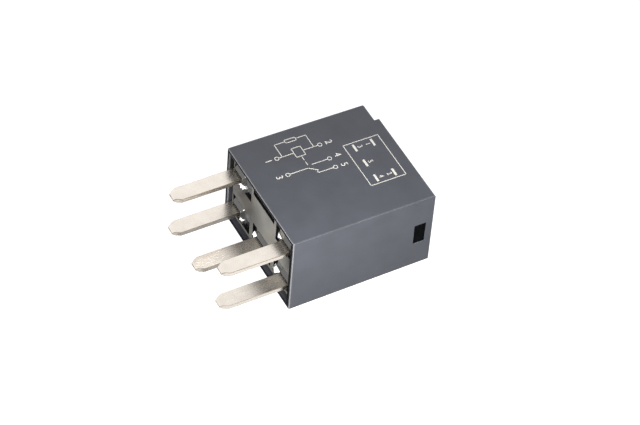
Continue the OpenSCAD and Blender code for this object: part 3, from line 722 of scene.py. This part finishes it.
def ink_frame(bm, low, high):
    """The outline of a rectangle, drawn as four strokes."""
    corners = [(low[0], low[1]), (high[0], low[1]), (high[0], high[1]), (low[0], high[1])]
    for i, corner in enumerate(corners):
        ink_line(bm, corner, corners[(i + 1) % 4])


def ink_ring(bm, centre):
    """A small open circle, drawn as a ring of one stroke's width."""
    place = Matrix.Translation((centre[0] * MM, centre[1] * MM, 0))
    made = bmesh.ops.create_circle(bm, cap_ends=True, segments=28, radius=RING + LINE / 2,
                                   matrix=place)["verts"]
    disc = made[0].link_faces[0]
    around = bmesh.ops.inset_region(bm, faces=[disc], thickness=LINE,
                                    use_boundary=True)["faces"]
    bmesh.ops.delete(bm, geom=[disc], context="FACES_ONLY")
    raised = bmesh.ops.extrude_face_region(bm, geom=around)["geom"]
    bmesh.ops.translate(bm, vec=(0, 0, INK_THICK),
                        verts=[v for v in raised if isinstance(v, bmesh.types.BMVert)])


def ink_digit(bm, digit, centre, height=DIGIT):
    """A plain digit that reads across the face, with its top to the closed end."""
    text = bpy.data.curves.new("digit", "FONT")
    text.body = digit
    text.align_x, text.align_y = "CENTER", "CENTER"
    text.size = height * FONT_SIZE
    text.extrude = INK_THICK / 2
    text.resolution_u = 3
    holder = bpy.data.objects.new("digit", text)
    scene.collection.objects.link(holder)
    bpy.context.view_layer.update()
    mesh = bpy.data.meshes.new_from_object(holder)
    place = Matrix.Translation((centre[0] * MM, centre[1] * MM, INK_THICK / 2))
    mesh.transform(place @ Matrix.Rotation(math.radians(-90), 4, "Z"))
    bm.from_mesh(mesh)
    bpy.data.objects.remove(holder)
    bpy.data.meshes.remove(mesh)


bm = bmesh.new()
coil_left, coil_right = (6.0, 6.05), (13.6, 6.05)
common, make, rest = (6.0, 2.25), (13.6, 2.75), (13.6, 0.75)
for point in (coil_left, coil_right, common, make, rest):
    ink_ring(bm, point)
gap = (RING + LINE / 2) / MM
# Coil, with the resistor in the branch beside it
ink_frame(bm, (9.0, 5.05), (10.6, 7.05))
ink_line(bm, (coil_left[0] + gap, coil_left[1]), (9.0, coil_left[1]))
ink_line(bm, (10.6, coil_right[1]), (coil_right[0] - gap, coil_right[1]))
branch = 8.85
ink_frame(bm, (8.85, 8.5), (10.7, 9.15))
for foot, end in ((6.95, 8.85), (12.5, 10.7)):
    ink_line(bm, (foot, coil_left[1]), (foot, branch))
    ink_line(bm, (foot, branch), (end, branch))
# Changeover contact, and the dashes that tie its arm to the coil
ink_line(bm, (common[0] + gap, common[1]), (9.5, common[1]))
ink_line(bm, (9.5, common[1]), (10.85, 1.25))
ink_line(bm, (10.5, make[1]), (make[0] - gap, make[1]))
ink_line(bm, (10.6, rest[1]), (rest[0] - gap, rest[1]))
ink_line(bm, (10.6, rest[1]), (10.6, 1.15))
ink_line(bm, (9.8, 4.8), (9.8, 4.1))
ink_line(bm, (9.8, 3.6), (9.8, 2.9))
for digit, place in {"1": (4.5, 6.05), "2": (15.1, 6.05), "3": (4.5, 2.25),
                     "4": (15.1, 3.0), "5": (15.1, 0.7)}.items():
    ink_digit(bm, digit, place)
# Plan of the blades, seen from their side
plan = (19.9, -0.4)
PLAN_SCALE = 0.42
PIN_NUMBERS = {"1": "86", "2": "85", "3": "30", "4": "87", "5": "87a"}
ink_frame(bm, (plan[0] - 3.1, plan[1] - 4.7), (plan[0] + 3.1, plan[1] + 4.7))
for digit, mark in PIN_NUMBERS.items():
    side, level = BLADES[mark]
    x = plan[0] + level * ROW / MM * PLAN_SCALE
    y = plan[1] + side * COLUMN / MM * PLAN_SCALE
    half = HALF_BLADE / MM * PLAN_SCALE
    ink_line(bm, (x, y - half), (x, y + half), width=0.36 * MM)
    ink_digit(bm, digit, (x - level * 0.88, y), height=PLAN_DIGIT)
face_tilt = Matrix.Rotation(math.atan(BROAD_LEAN), 4, "Y")
bmesh.ops.transform(bm, verts=bm.verts,
                    matrix=Matrix.Translation((0, 0, half_depth + INK_LIFT)) @ face_tilt)
bmesh.ops.remove_doubles(bm, verts=bm.verts, dist=SAME_PLACE)
bmesh.ops.dissolve_degenerate(bm, dist=SAME_PLACE, edges=bm.edges)
bmesh.ops.recalc_face_normals(bm, faces=bm.faces)
print_marks = new_piece("cover_print", bm)
ink = bpy.data.materials.new("pad_print_ink")
tree = new_tree(ink)
patch = mottling(tree, 0.25 * MM, detail=4)
tone = add(tree, "ShaderNodeMix", {6: linear(INK_THIN), 7: linear(INK_COLOUR)},
           {0: patch.outputs["Fac"]}, data_type="RGBA")
dry = add(tree, "ShaderNodeBsdfPrincipled", {"Roughness": 0.55},
          {"Base Color": tone.outputs[2]})
add(tree, "ShaderNodeOutputMaterial", links={"Surface": dry.outputs[0]})
print_marks.data.materials.append(ink)
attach(print_marks, "relay_body")
